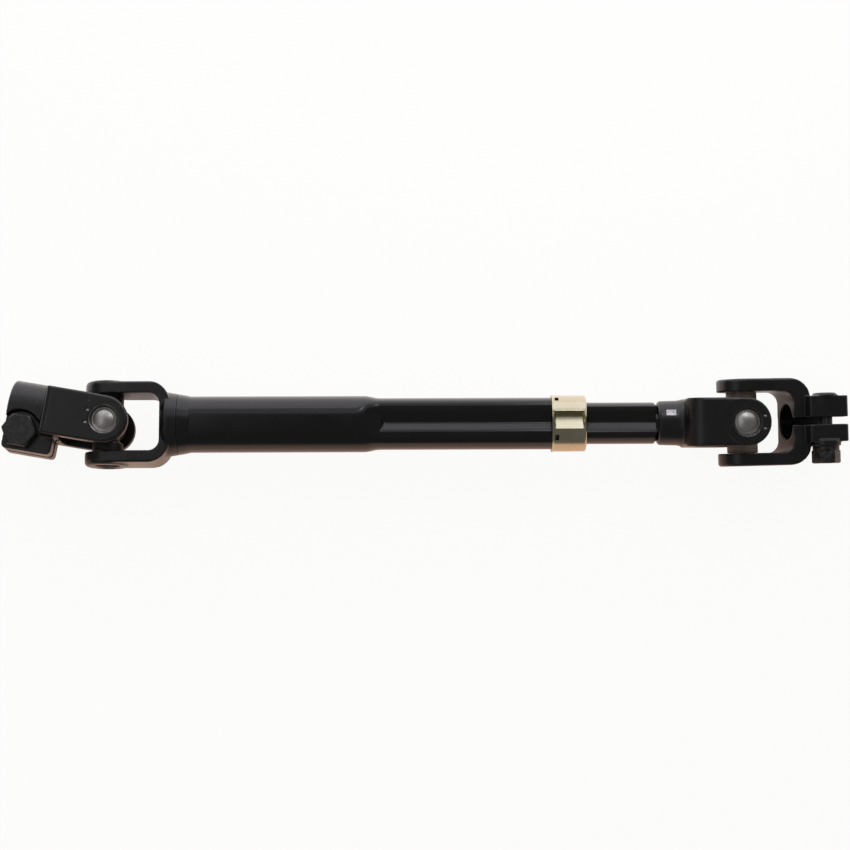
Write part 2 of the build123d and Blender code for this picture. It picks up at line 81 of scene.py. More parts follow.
# Shader groups, each built once and placed in the materials with its own values

def groupShell(name, inputs, outputs):
    group = bpy.data.node_groups.new(name, "ShaderNodeTree")
    for label, kind, value in inputs:
        socket = group.interface.new_socket(label, in_out="INPUT", socket_type=kind)
        socket.default_value = value
    for label, kind in outputs:
        group.interface.new_socket(label, in_out="OUTPUT", socket_type=kind)
    start = group.nodes.new("NodeGroupInput")
    end = group.nodes.new("NodeGroupOutput")
    return group, start, end


def link(tree, source, target):
    tree.links.new(source, target)


def setOrLink(tree, value, socket):
    if isinstance(value, bpy.types.NodeSocket):
        link(tree, value, socket)
    else:
        socket.default_value = value


def addNoise(tree, vector, scale, detail, rough=0.55):
    noise = tree.nodes.new("ShaderNodeTexNoise")
    noise.inputs["Detail"].default_value = detail
    noise.inputs["Roughness"].default_value = rough
    link(tree, vector, noise.inputs["Vector"])
    setOrLink(tree, scale, noise.inputs["Scale"])
    return noise


def addMath(tree, operation, *values, clamp=False):
    node = tree.nodes.new("ShaderNodeMath")
    node.operation = operation
    node.use_clamp = clamp
    for socket, value in zip(node.inputs, values):
        setOrLink(tree, value, socket)
    return node.outputs[0]


def addRange(tree, value, low, high, newLow=0.0, newHigh=1.0, kind="LINEAR"):
    node = tree.nodes.new("ShaderNodeMapRange")
    node.interpolation_type = kind
    setOrLink(tree, value, node.inputs["Value"])
    setOrLink(tree, low, node.inputs["From Min"])
    setOrLink(tree, high, node.inputs["From Max"])
    setOrLink(tree, newLow, node.inputs["To Min"])
    setOrLink(tree, newHigh, node.inputs["To Max"])
    return node.outputs["Result"]


def addMix(tree, factor, first, second):
    node = tree.nodes.new("ShaderNodeMix")
    node.data_type = "RGBA"
    setOrLink(tree, factor, node.inputs[0])
    setOrLink(tree, first, node.inputs[6])
    setOrLink(tree, second, node.inputs[7])
    return node.outputs[2]


grainSizes = {
    "grainDetail": 3.0, "waveDetail": 2.0,
    "blotchScale": 0.45, "blotchDetail": 5.0, "blotchRough": 0.62, "blotchFrom": 0.35, "blotchFull": 0.68,
}


def buildGrainGroup():
    # Fine grain over slow waves, as on coated forgings, plus a blotch mask for colour and gloss
    group, start, end = groupShell(
        "surfaceGrain",
        [("Grain Scale", "NodeSocketFloat", 900.0), ("Wave Scale", "NodeSocketFloat", 90.0),
         ("Wave Share", "NodeSocketFloat", 0.5)],
        [("Height", "NodeSocketFloat"), ("Blotch", "NodeSocketFloat")],
    )
    place = group.nodes.new("ShaderNodeTexCoord").outputs["Object"]
    grain = addNoise(group, place, start.outputs["Grain Scale"], grainSizes["grainDetail"])
    wave = addNoise(group, place, start.outputs["Wave Scale"], grainSizes["waveDetail"])
    slower = addMath(group, "MULTIPLY", start.outputs["Wave Scale"], grainSizes["blotchScale"])
    blotch = addNoise(group, place, slower, grainSizes["blotchDetail"], grainSizes["blotchRough"])
    blotched = addRange(group, blotch.outputs["Fac"], grainSizes["blotchFrom"], grainSizes["blotchFull"])
    share = start.outputs["Wave Share"]
    waved = addMath(group, "MULTIPLY", wave.outputs["Fac"], share)
    grained = addMath(group, "MULTIPLY", grain.outputs["Fac"], addMath(group, "SUBTRACT", 1.0, share))
    link(group, addMath(group, "ADD", waved, grained), end.inputs["Height"])
    link(group, blotched, end.inputs["Blotch"])
    return group


wearSizes = {"breakDetail": 4.0, "breakRough": 0.65, "breakFrom": 0.42, "breakFull": 0.62}


def buildWearGroup():
    # Edges and rims where the coat is thin, broken up by noise
    group, start, end = groupShell(
        "edgeWear",
        [("Edge", "NodeSocketFloat", 0.52), ("Spread", "NodeSocketFloat", 0.05),
         ("Break Scale", "NodeSocketFloat", 260.0), ("Amount", "NodeSocketFloat", 0.5)],
        [("Mask", "NodeSocketFloat")],
    )
    place = group.nodes.new("ShaderNodeTexCoord").outputs["Object"]
    sharp = group.nodes.new("ShaderNodeNewGeometry").outputs["Pointiness"]
    top = addMath(group, "ADD", start.outputs["Edge"], start.outputs["Spread"])
    edge = addRange(group, sharp, start.outputs["Edge"], top)
    breaks = addNoise(
        group, place, start.outputs["Break Scale"], wearSizes["breakDetail"], wearSizes["breakRough"])
    broken = addRange(group, breaks.outputs["Fac"], wearSizes["breakFrom"], wearSizes["breakFull"])
    worn = addMath(group, "MULTIPLY", edge, broken)
    link(group, addMath(group, "MULTIPLY", worn, start.outputs["Amount"], clamp=True), end.inputs["Mask"])
    return group


def buildSpeckGroup():
    # Sparse round specks, as dust under paint or lint on it
    group, start, end = groupShell(
        "dustSpecks",
        [("Scale", "NodeSocketFloat", 160.0), ("Share", "NodeSocketFloat", 0.06),
         ("Size", "NodeSocketFloat", 0.12)],
        [("Mask", "NodeSocketFloat")],
    )
    place = group.nodes.new("ShaderNodeTexCoord").outputs["Object"]
    cells = group.nodes.new("ShaderNodeTexVoronoi")
    link(group, place, cells.inputs["Vector"])
    link(group, start.outputs["Scale"], cells.inputs["Scale"])
    split = group.nodes.new("ShaderNodeSeparateColor")
    link(group, cells.outputs["Color"], split.inputs[0])
    chosen = addMath(group, "LESS_THAN", split.outputs[0], start.outputs["Share"])
    size = addMath(group, "MULTIPLY", split.outputs[1], start.outputs["Size"])
    inside = addMath(group, "LESS_THAN", cells.outputs["Distance"], size)
    link(group, addMath(group, "MULTIPLY", chosen, inside), end.inputs["Mask"])
    return group


surfaceGrain = buildGrainGroup()
edgeWear = buildWearGroup()
dustSpecks = buildSpeckGroup()


def placeGroup(tree, group, **values):
    # values go by the names of the group's inputs, with _ for a space
    node = tree.nodes.new("ShaderNodeGroup")
    node.node_tree = group
    for label, value in values.items():
        node.inputs[label.replace("_", " ")].default_value = value
    return node


def startFinish(name, look):
    # A material with its grain, and its base colour mixed from a clear and a blotched one
    material = bpy.data.materials.new(name)
    material.use_nodes = True
    tree = material.node_tree
    shader = tree.nodes["Principled BSDF"]
    for label, value in look["constants"].items():
        shader.inputs[label].default_value = value
    grain = placeGroup(
        tree, surfaceGrain, Grain_Scale=look["grain"], Wave_Scale=look["wave"], Wave_Share=look["waveShare"])
    base = addMix(tree, grain.outputs["Blotch"], look["clear"], look["blotched"])
    return material, tree, shader, grain, base


def endFinish(tree, shader, grain, color, look, height=None):
    # Colour, gloss and bump go into the shader. The bump is the grain's own unless a height is given
    if height is None:
        height = grain.outputs["Height"]
    link(tree, color, shader.inputs["Base Color"])
    rough = addRange(tree, grain.outputs["Blotch"], 0.0, 1.0, *look["rough"])
    link(tree, rough, shader.inputs["Roughness"])
    strength, distance = look["bump"]
    bump = tree.nodes.new("ShaderNodeBump")
    bump.inputs["Strength"].default_value = strength
    bump.inputs["Distance"].default_value = distance
    link(tree, height, bump.inputs["Height"])
    link(tree, bump.outputs["Normal"], shader.inputs["Normal"])


def addWear(tree, look):
    return placeGroup(
        tree, edgeWear, Edge=look["edge"], Spread=look["edgeSpread"], Break_Scale=look["edgeBreak"],
        Amount=look["edgeAmount"]).outputs["Mask"]


def addSpecks(tree, look):
    return placeGroup(
        tree, dustSpecks, Scale=look["speckScale"], Share=look["speckShare"],
        Size=look["speckSize"]).outputs["Mask"]


def makePlainFinish(name, look):
    material, tree, shader, grain, base = startFinish(name, look)
    endFinish(tree, shader, grain, base, look)
    return material


tubePaintLook = {
    "constants": {"IOR": 1.5}, "grain": 420.0, "wave": 45.0, "waveShare": 0.65,
    "clear": (0.0045, 0.0043, 0.0042, 1), "blotched": (0.0085, 0.0078, 0.0072, 1),
    "rough": (0.16, 0.24), "bump": (0.35, 0.06 * mm),
    "speckScale": 110.0, "speckShare": 0.035, "speckSize": 0.16, "speckHeight": 0.8,
    "speck": (0.22, 0.21, 0.2, 1),
}


def makeTubePaint(look):
    material, tree, shader, grain, base = startFinish("tubePaintBlack", look)
    specks = addSpecks(tree, look)
    color = addMix(tree, specks, base, look["speck"])
    raised = addMath(tree, "MULTIPLY", specks, look["speckHeight"])
    endFinish(tree, shader, grain, color, look, addMath(tree, "ADD", grain.outputs["Height"], raised))
    return material


forgedLook = {
    "constants": {"IOR": 1.5}, "grain": 1300.0, "wave": 170.0, "waveShare": 0.45,
    "clear": (0.0065, 0.0063, 0.0066, 1), "blotched": (0.0145, 0.0137, 0.0135, 1),
    "rough": (0.25, 0.38), "bump": (0.5, 0.16 * mm),
    "edge": 0.515, "edgeSpread": 0.05, "edgeBreak": 330.0, "edgeAmount": 0.55, "worn": (0.10, 0.088, 0.08, 1),
    "speckScale": 300.0, "speckShare": 0.035, "speckSize": 0.14, "speck": (0.10, 0.095, 0.09, 1),
    "bare": (0.55, 0.54, 0.53, 1), "bareMetal": 0.5, "bareFrom": 0.35, "bareFull": 0.6,
    "patchScale": 420.0, "patchDetail": 2.0, "patchFrom": 0.35, "patchFull": 0.5, "patchLeast": 0.75,
}


def makeForgedBlack(look):
    material, tree, shader, grain, base = startFinish("forgedYokeBlack", look)
    worn = addMix(tree, addWear(tree, look), base, look["worn"])
    specked = addMix(tree, addSpecks(tree, look), worn, look["speck"])
    # The bare attribute marks where the coat is off: stake dents and the dab on the neck
    bare = tree.nodes.new("ShaderNodeAttribute")
    bare.attribute_name = "bare"
    place = tree.nodes.new("ShaderNodeTexCoord").outputs["Object"]
    patches = addNoise(tree, place, look["patchScale"], look["patchDetail"]).outputs["Fac"]
    patchy = addRange(tree, patches, look["patchFrom"], look["patchFull"], look["patchLeast"], 1.0)
    rubbed = addRange(tree, bare.outputs["Fac"], look["bareFrom"], look["bareFull"])
    share = addMath(tree, "MULTIPLY", rubbed, patchy)
    link(tree, addMath(tree, "MULTIPLY", share, look["bareMetal"]), shader.inputs["Metallic"])
    endFinish(tree, shader, grain, addMix(tree, share, specked, look["bare"]), look)
    return material


fastenerLook = {
    "constants": {"IOR": 1.5}, "grain": 1800.0, "wave": 220.0, "waveShare": 0.35,
    "clear": (0.008, 0.008, 0.0095, 1), "blotched": (0.019, 0.0183, 0.019, 1),
    "rough": (0.3, 0.46), "bump": (0.35, 0.1 * mm),
    "edge": 0.51, "edgeSpread": 0.06, "edgeBreak": 420.0, "edgeAmount": 0.7, "worn": (0.2, 0.18, 0.16, 1),
}


def makeFastenerBlack(look):
    material, tree, shader, grain, base = startFinish("fastenerBlack", look)
    endFinish(tree, shader, grain, addMix(tree, addWear(tree, look), base, look["worn"]), look)
    return material


zincLook = {
    "constants": {"Metallic": 1.0}, "grain": 900.0, "wave": 130.0, "waveShare": 0.5,
    "clear": (0.57, 0.55, 0.40, 1), "blotched": (0.49, 0.475, 0.31, 1),
    "rough": (0.15, 0.22), "bump": (0.25, 0.08 * mm),
    "tintGrain": 160.0, "tintWave": 60.0, "tintWaveShare": 0.8, "tintShare": 0.6,
    "rose": (0.55, 0.46, 0.36, 1),
}


def makeYellowZinc(look):
    # Yellow passivated zinc: straw gold with slow olive and rose bands
    material, tree, shader, grain, straw = startFinish("clipYellowZinc", look)
    tint = placeGroup(
        tree, surfaceGrain, Grain_Scale=look["tintGrain"], Wave_Scale=look["tintWave"],
        Wave_Share=look["tintWaveShare"])
    share = addMath(tree, "MULTIPLY", tint.outputs["Blotch"], look["tintShare"])
    endFinish(tree, shader, grain, addMix(tree, share, straw, look["rose"]), look)
    return material


cupSteelLook = {
    "constants": {"Metallic": 1.0}, "grain": 2200.0, "wave": 420.0, "waveShare": 0.4,
    "clear": (0.56, 0.545, 0.52, 1), "blotched": (0.42, 0.405, 0.385, 1),
    "rough": (0.3, 0.42), "bump": (0.3, 0.08 * mm),
}
# Steel bared by the tool at the mouth of each bearing hole, part of it under thin coat
rimSteelLook = {
    "constants": {"Metallic": 1.0}, "grain": 1500.0, "wave": 300.0, "waveShare": 0.5,
    "clear": (0.42, 0.41, 0.40, 1), "blotched": (0.22, 0.21, 0.2, 1),
    "rough": (0.28, 0.42), "bump": (0.3, 0.06 * mm),
}
crossSteelLook = {
    "constants": {"Metallic": 0.9}, "grain": 1500.0, "wave": 240.0, "waveShare": 0.5,
    "clear": (0.1, 0.09, 0.08, 1), "blotched": (0.06, 0.052, 0.046, 1),
    "rough": (0.38, 0.55), "bump": (0.4, 0.1 * mm),
}
rollerSteelLook = {
    "constants": {"Metallic": 1.0}, "grain": 2600.0, "wave": 500.0, "waveShare": 0.3,
    "clear": (0.6, 0.6, 0.6, 1), "blotched": (0.5, 0.5, 0.51, 1),
    "rough": (0.15, 0.25), "bump": (0.15, 0.04 * mm),
}
sealLook = {
    "constants": {"IOR": 1.48}, "grain": 1700.0, "wave": 300.0, "waveShare": 0.4,
    "rough": (0.42, 0.6), "bump": (0.4, 0.1 * mm),
}
tanColors = {"clear": (0.42, 0.33, 0.25, 1), "blotched": (0.30, 0.225, 0.165, 1)}
darkColors = {"clear": (0.035, 0.028, 0.022, 1), "blotched": (0.02, 0.017, 0.014, 1)}

tubePaint = makeTubePaint(tubePaintLook)
forgedBlack = makeForgedBlack(forgedLook)
fastenerBlack = makeFastenerBlack(fastenerLook)
yellowZinc = makeYellowZinc(zincLook)
cupSteel = makePlainFinish("bearingCupSteel", cupSteelLook)
rimSteel = makePlainFinish("holeRimSteel", rimSteelLook)
crossSteel = makePlainFinish("crossSteelDark", crossSteelLook)
rollerSteel = makePlainFinish("rollerSteel", rollerSteelLook)
sealTan = makePlainFinish("sealTan", {**sealLook, **tanColors})
sealDark = makePlainFinish("sealDark", {**sealLook, **darkColors})
print("stage: materials made")


# Meshes that are taken over from the frame

def newObject(name, mesh):
    obj = bpy.data.objects.new(name, mesh)
    bpy.context.scene.collection.objects.link(obj)
    return obj


mergeDistance = 0.002 * mm


def mergedCopy(node, name):
    # The node's loose triangles joined to one skin, with no finish of its own
    mesh = frame["nodes"][node].data.copy()
    mesh.name = name
    mesh.materials.clear()
    shape = bmesh.new()
    shape.from_mesh(mesh)
    bmesh.ops.remove_doubles(shape, verts=shape.verts, dist=mergeDistance)
    shape.to_mesh(mesh)
    shape.free()
    if mesh.attributes.get("custom_normal"):
        mesh.attributes.remove(mesh.attributes["custom_normal"])
    return newObject(name, mesh)


def bakeModifiers(obj):
    bpy.context.view_layer.update()
    graph = bpy.context.evaluated_depsgraph_get()
    mesh = bpy.data.meshes.new_from_object(obj.evaluated_get(graph))
    obj.modifiers.clear()
    obj.data = mesh
    return obj


def finishPiece(obj, material, body, slotName, *nodes, sharp):
    # sharp is the angle between faces, in degrees, from which an edge is shaded sharp
    obj.data.materials.clear()
    obj.data.materials.append(material)
    obj.data.shade_smooth()
    obj.data.set_sharp_from_angle(angle=math.radians(sharp))
    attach(obj, body)
    if nodes:
        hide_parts(*nodes)
    return obj


forgingSizes = {"voxel": 0.42 * mm, "smoothTurns": 7, "smoothShare": 0.5}


def forgedCopy(node, name):
    # A forging has no sharp edge: the solid is rebuilt evenly fine and its edges are relaxed
    obj = mergedCopy(node, name)
    remesh = obj.modifiers.new("evenSkin", "REMESH")
    remesh.mode = "VOXEL"
    remesh.voxel_size = forgingSizes["voxel"]
    remesh.adaptivity = 0.0
    relax = obj.modifiers.new("relax", "SMOOTH")
    relax.factor = forgingSizes["smoothShare"]
    relax.iterations = forgingSizes["smoothTurns"]
    return bakeModifiers(obj)


# Places in the forging's own frame: two stake dents on each ear, and a pale dab on the shaft yoke's neck
stakeLook = {
    "along": 9.6 * mm, "across": 3.5 * mm, "halfAlong": 1.0 * mm, "halfAcross": 0.55 * mm,
    "depth": 0.45 * mm, "earInside": 20 * mm, "bareReach": 1.5, "dentReach": 1.6, "bareShare": 0.72,
}
# 1 where the dents lie on the cup's side towards the yoke's base, -1 where they lie towards the ear's tip
stakeEars = {"gear_clamp_yoke": 1, "shaft_yoke": -1, "tube_fork": -1, "column_clamp_yoke": -1}
neckDab = {
    "along": 40.9 * mm, "across": 5.65 * mm, "halfAlong": 2.7 * mm, "halfAcross": 1.6 * mm,
    "reach": 1.15, "softness": 0.3,
}


def markForging(obj, node):
    # Pushes in the stake dents beside the cups and notes on each vertex how bare it is
    mesh = obj.data
    count = len(mesh.vertices)
    spots = np.empty(count * 3)
    mesh.vertices.foreach_get("co", spots)
    spots = spots.reshape(-1, 3)
    inverse = np.array(forgingPlaces[node].inverted())
    own = spots @ inverse[:3, :3].T + inverse[:3, 3]
    bare = np.zeros(count)
    push = np.zeros(count)
    outer = np.abs(own[:, 1]) > stakeLook["earInside"]
    for across in (stakeLook["across"], -stakeLook["across"]):
        u = (own[:, 0] - stakeEars[node] * stakeLook["along"]) / stakeLook["halfAlong"]
        v = (own[:, 2] - across) / stakeLook["halfAcross"]
        reach = np.sqrt(u * u + v * v)
        rubbed = stakeLook["bareShare"] * outer * np.clip(stakeLook["bareReach"] - reach, 0, 1)
        bare = np.maximum(bare, rubbed)
        dent = outer * np.clip(stakeLook["dentReach"] - reach, 0, 1) * stakeLook["depth"]
        push = np.maximum(push, dent)
    if node == "shaft_yoke":
        u = np.abs(own[:, 0] - neckDab["along"]) / neckDab["halfAlong"]
        v = np.abs(own[:, 2] - neckDab["across"]) / neckDab["halfAcross"]
        dab = np.clip((neckDab["reach"] - np.maximum(u, v)) / neckDab["softness"], 0, 1)
        bare = np.maximum(bare, (own[:, 1] > 0) * dab)
    own[:, 1] -= np.sign(own[:, 1]) * push
    forward = np.array(forgingPlaces[node])
    moved = own @ forward[:3, :3].T + forward[:3, 3]
    mesh.vertices.foreach_set("co", moved.ravel())
    layer = mesh.attributes.new("bare", "FLOAT", "POINT")
    layer.data.foreach_set("value", bare)


forgings = (
    ("tube_fork", "outer_tube"),
    ("gear_clamp_yoke", "gear_clamp"),
    ("shaft_yoke", "slide_shaft"),
    ("column_clamp_yoke", "column_clamp"),
)
for node, body in forgings:
    piece = forgedCopy(node, node + "_forging")
    markForging(piece, node)
    finishPiece(piece, forgedBlack, body, "yoke_paint", node, sharp=80)
    print("stage: forging", node, len(piece.data.polygons))


# Geometry Nodes for the tube, the clip, the cups and the hole rims: each is a grid bent round an axis

# Least values of what the polar forms divide by or take the root of, so that none reaches zero
leastUp = {"tube": 0.001, "mouth": 0.01}
leastFacing = 0.02
leastRoot = 0.0001
weldDistance = 0.001 * mm


def treeShell(name, sizes, counts):
    # Gives the tree, a short call that adds one math node to it, its inputs and its end
    tree = bpy.data.node_groups.new(name, "GeometryNodeTree")
    tree.interface.new_socket("Geometry", in_out="OUTPUT", socket_type="NodeSocketGeometry")
    for label, value in sizes.items():
        socket = tree.interface.new_socket(label, in_out="INPUT", socket_type="NodeSocketFloat")
        socket.default_value = value
    for label, value in counts.items():
        socket = tree.interface.new_socket(label, in_out="INPUT", socket_type="NodeSocketInt")
        socket.default_value = value
    tree.interface.new_socket("Material", in_out="INPUT", socket_type="NodeSocketMaterial")
    start = tree.nodes.new("NodeGroupInput")
    end = tree.nodes.new("NodeGroupOutput")
    return tree, partial(addMath, tree), start.outputs, end.inputs


def easeBetween(tree, value, low, high, newLow, newHigh):
    return addRange(tree, value, low, high, newLow, newHigh, "SMOOTHERSTEP")


def splitProfile(calc, share, stations):
    # stations says where each stretch of the profile ends. Gives how far a row is through each, 0 to 1
    way = {}
    start = 0.0
    for name, end in stations.items():
        passed = calc("DIVIDE", calc("SUBTRACT", share, start), end - start)
        way[name] = calc("MINIMUM", calc("MAXIMUM", passed, 0.0), 1.0)
        start = end
    return way


def startGrid(tree, calc, rows, columns):
    # Gives the grid, each row's share of the way along the profile and each column's angle
    grid = tree.nodes.new("GeometryNodeMeshGrid")
    link(tree, calc("ADD", rows, 1.0), grid.inputs["Vertices X"])
    link(tree, calc("ADD", columns, 1.0), grid.inputs["Vertices Y"])
    split = tree.nodes.new("ShaderNodeSeparateXYZ")
    link(tree, tree.nodes.new("GeometryNodeInputPosition").outputs[0], split.inputs[0])
    share = calc("ADD", split.outputs["X"], 0.5)
    angle = calc("MULTIPLY", calc("ADD", split.outputs["Y"], 0.5), 2 * math.pi)
    return grid, share, angle


def bendGrid(tree, calc, grid, along, reach, angle, axes, sizes, ends):
    # Bends the grid to shape, welds its seam and gives it its material
    # The first letter of axes is the axis that the shape turns about
    place = tree.nodes.new("ShaderNodeCombineXYZ")
    link(tree, along, place.inputs[axes[0]])
    link(tree, calc("MULTIPLY", reach, calc("COSINE", angle)), place.inputs[axes[1]])
    link(tree, calc("MULTIPLY", reach, calc("SINE", angle)), place.inputs[axes[2]])
    move = tree.nodes.new("GeometryNodeSetPosition")
    link(tree, grid.outputs["Mesh"], move.inputs["Geometry"])
    link(tree, place.outputs[0], move.inputs["Position"])
    weld = tree.nodes.new("GeometryNodeMergeByDistance")
    weld.inputs["Distance"].default_value = weldDistance
    link(tree, move.outputs[0], weld.inputs["Geometry"])
    realize = tree.nodes.new("GeometryNodeRealizeInstances")
    paint = tree.nodes.new("GeometryNodeSetMaterial")
    link(tree, weld.outputs[0], realize.inputs[0])
    link(tree, realize.outputs[0], paint.inputs["Geometry"])
    link(tree, sizes["Material"], paint.inputs["Material"])
    link(tree, paint.outputs[0], ends["Geometry"])


def applyTree(name, tree, values):
    # The tree's result becomes a plain mesh, and its modifier goes
    obj = newObject(name, bpy.data.meshes.new(name))
    modifier = obj.modifiers.new("shape", "NODES")
    modifier.node_group = tree
    for item in tree.interface.items_tree:
        if item.item_type == "SOCKET" and item.in_out == "INPUT" and item.name in values:
            modifier[item.identifier] = values[item.name]
    return bakeModifiers(obj)


def turnOutwards(obj):
    shape = bmesh.new()
    shape.from_mesh(obj.data)
    bmesh.ops.recalc_face_normals(shape, faces=shape.faces)
    shape.to_mesh(obj.data)
    shape.free()
    return obj


# Outer tube: round, drawn down to two flats with a groove in each

tubeSizes = {
    "Start": 40.0 * mm, "End": 267.5 * mm, "Wall": 2.1 * mm,
    "Round Radius": 15.9 * mm, "Formed Radius": 14.6 * mm, "Flat Height": 10.2 * mm,
    "Neck Start": 143.5 * mm, "Neck End": 154.5 * mm, "Ramp Start": 137.0 * mm, "Ramp End": 155.5 * mm,
    "Groove Start": 152.8 * mm, "Groove Run": 4.0 * mm, "Groove Half Width": 5.4 * mm,
    "Groove Depth": 2.9 * mm, "Groove Rise": 1.02, "Groove Bottom": 0.004, "Groove Blend": 1.3 * mm,
    "Edge Blend": 3.4 * mm, "Bore Crispness": 2.6 * mm,
    "Fine From": 0.16, "Fine To": 0.86, "Fine Past Groove": 1.5,
}
tubeCounts = {"Along": 150, "Around": 176}


def buildTubeTree():
    tree, calc, sizes, ends = treeShell("drawnTube", tubeSizes, tubeCounts)
    # The rows run out along the outside, back along the bore, and close on the first row
    along = sizes["Along"]
    lastRow = calc("ADD", calc("MULTIPLY", along, 2.0), 2.0)
    grid, way, angle = startGrid(tree, calc, lastRow, sizes["Around"])
    row = calc("ROUND", calc("MULTIPLY", way, lastRow))
    closing = calc("GREATER_THAN", row, calc("SUBTRACT", lastRow, 0.5))
    unclosed = calc("SUBTRACT", 1.0, closing)
    bore = calc("MULTIPLY", calc("GREATER_THAN", row, calc("ADD", along, 0.5)), unclosed)
    outRow = calc("MULTIPLY", calc("MULTIPLY", row, unclosed), calc("SUBTRACT", 1.0, bore))
    backRow = calc("MULTIPLY", calc("SUBTRACT", calc("SUBTRACT", lastRow, 1.0), row), bore)
    share = calc("DIVIDE", calc("ADD", backRow, outRow), along)
    # Rows lie close together over the ramp and the groove's start, and far apart on the even stretches
    finePast = calc("MULTIPLY", sizes["Groove Run"], sizes["Fine Past Groove"])
    fineEnd = calc("ADD", sizes["Groove Start"], finePast)
    fineLength = calc("SUBTRACT", fineEnd, sizes["Ramp Start"])
    firstPart = addRange(tree, share, 0.0, sizes["Fine From"], sizes["Start"], sizes["Ramp Start"])
    finePart = addRange(tree, share, sizes["Fine From"], sizes["Fine To"], 0.0, fineLength)
    lastPart = addRange(tree, share, sizes["Fine To"], 1.0, 0.0, calc("SUBTRACT", sizes["End"], fineEnd))
    x = calc("ADD", calc("ADD", firstPart, finePart), lastPart)
    side = calc("ABSOLUTE", calc("COSINE", angle))
    up = calc("MAXIMUM", calc("ABSOLUTE", calc("SINE", angle)), leastUp["tube"])
    inset = calc("MULTIPLY", bore, sizes["Wall"])
    outerRadius = easeBetween(
        tree, x, sizes["Neck Start"], sizes["Neck End"], sizes["Round Radius"], sizes["Formed Radius"])
    outerFlat = easeBetween(
        tree, x, sizes["Ramp Start"], sizes["Ramp End"], sizes["Round Radius"], sizes["Flat Height"])
    radius = calc("SUBTRACT", outerRadius, inset)
    flat = calc("SUBTRACT", outerFlat, inset)
    slope = calc("DIVIDE", sizes["Groove Depth"], sizes["Groove Half Width"])
    lean = calc("SQRT", calc("ADD", 1.0, calc("MULTIPLY", slope, slope)))
    outerFloor = calc("SUBTRACT", sizes["Flat Height"], sizes["Groove Depth"])
    floor = calc("SUBTRACT", outerFloor, calc("MULTIPLY", inset, lean))
    runEnd = calc("ADD", sizes["Groove Start"], sizes["Groove Run"])
    above = calc("MULTIPLY", flat, sizes["Groove Rise"])
    closedEnd = addRange(tree, x, sizes["Groove Start"], runEnd, above, floor, "SMOOTHSTEP")
    # In polar form the groove wall is floor / (up - slope * side), and infinite where that is negative
    softSide = calc("SQRT", calc("ADD", calc("MULTIPLY", side, side), sizes["Groove Bottom"]))
    facing = calc("MAXIMUM", calc("SUBTRACT", up, calc("MULTIPLY", slope, softSide)), leastFacing)
    wallReach = calc("DIVIDE", floor, facing)
    groove = calc("SMOOTH_MAX", wallReach, calc("DIVIDE", closedEnd, up), sizes["Groove Blend"])
    blend = calc("SUBTRACT", sizes["Edge Blend"], calc("MULTIPLY", bore, sizes["Bore Crispness"]))
    body = calc("SMOOTH_MIN", radius, calc("DIVIDE", flat, up), blend)
    reach = calc("SMOOTH_MIN", body, groove, sizes["Groove Blend"])
    bendGrid(tree, calc, grid, x, reach, angle, "XYZ", sizes, ends)
    return tree


tubePiece = applyTree("outer_tube_drawn", buildTubeTree(), {**tubeSizes, **tubeCounts, "Material": tubePaint})
tubePiece.data.transform(tubePlace)
turnOutwards(tubePiece)
finishPiece(tubePiece, tubePaint, "outer_tube", "tube_paint", "outer_tube", sharp=60)
print("stage: tube", len(tubePiece.data.polygons))


# Pieces that keep their solids: shaded smooth, with a small bevel on some, and given their finish

dressSizes = {"coplanar": 0.6, "bevelFrom": 38, "bevelSteps": 3, "sharp": 30}


def dressNode(node, body, material, slotName, bevel):
    piece = mergedCopy(node, node + "_dressed")
    shape = bmesh.new()
    shape.from_mesh(piece.data)
    bmesh.ops.dissolve_limit(
        shape, angle_limit=math.radians(dressSizes["coplanar"]), verts=shape.verts, edges=shape.edges,
        delimit={"NORMAL"})
    shape.to_mesh(piece.data)
    shape.free()
    if bevel:
        edge = piece.modifiers.new("edge", "BEVEL")
        edge.width = bevel
        edge.segments = dressSizes["bevelSteps"]
        edge.limit_method = "ANGLE"
        edge.angle_limit = math.radians(dressSizes["bevelFrom"])
        edge.harden_normals = False
        bakeModifiers(piece)
    return finishPiece(piece, material, body, slotName, node, sharp=dressSizes["sharp"])


dressed = (
    ("slide_shaft", "slide_shaft", tubePaint, "tube_paint", 0.9 * mm),
    ("tube_weld", "outer_tube", tubePaint, "tube_paint", 0.0),
    ("gear_cross", "gear_cross", crossSteel, "cross_steel", 0.0),
    ("column_cross", "column_cross", crossSteel, "cross_steel", 0.0),
    ("gear_pinch_bolt", "gear_clamp", fastenerBlack, "black_fastener", 0.35 * mm),
    ("gear_pinch_nut", "gear_clamp", fastenerBlack, "black_fastener", 0.35 * mm),
    ("column_pinch_bolt", "column_clamp", fastenerBlack, "black_fastener", 0.3 * mm),
    ("column_lock_washer", "column_clamp", fastenerBlack, "black_fastener", 0.2 * mm),
)
for node, body, material, slotName, bevel in dressed:
    dressNode(node, body, material, slotName, bevel)


# Tube end clip: a drawn sleeve with a one-sided pocket pressed into it above and below, closed in at its end

